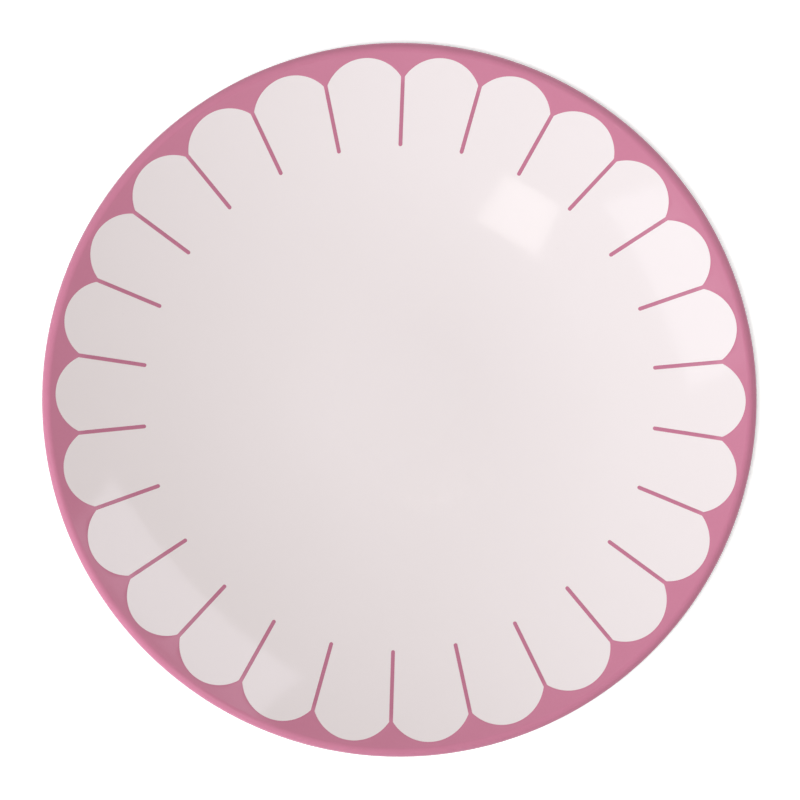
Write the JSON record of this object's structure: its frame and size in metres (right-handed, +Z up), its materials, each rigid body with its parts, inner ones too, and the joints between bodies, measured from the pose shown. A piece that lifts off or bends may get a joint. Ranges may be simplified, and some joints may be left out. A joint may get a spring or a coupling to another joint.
{
  "type": "scalloped dessert plate",
  "caption": "Shallow coupe dessert plate on a foot ring, with a plain round lip and a pink border of petal scallops and thin ribs on white glaze.",
  "frame": {"origin": "on the table, at the middle of the foot ring", "axes": "+Z up along the plate's axis; +Y towards the top of the picture and +X towards its right"},
  "size_m": [0.21, 0.21, 0.027],
  "materials": {
    "bisque": "unglazed, fine grain, ground smooth on the foot",
    "white_glaze": "gloss",
    "pink_print": "gloss",
    "pink_band": "gloss"
  },
  "bodies": {
    "root": {"body": "bisque", "glaze": "white_glaze", "base_glaze": "white_glaze", "scallop_border": "pink_print", "lip_band": "pink_band"}
  },
  "joints": []
}
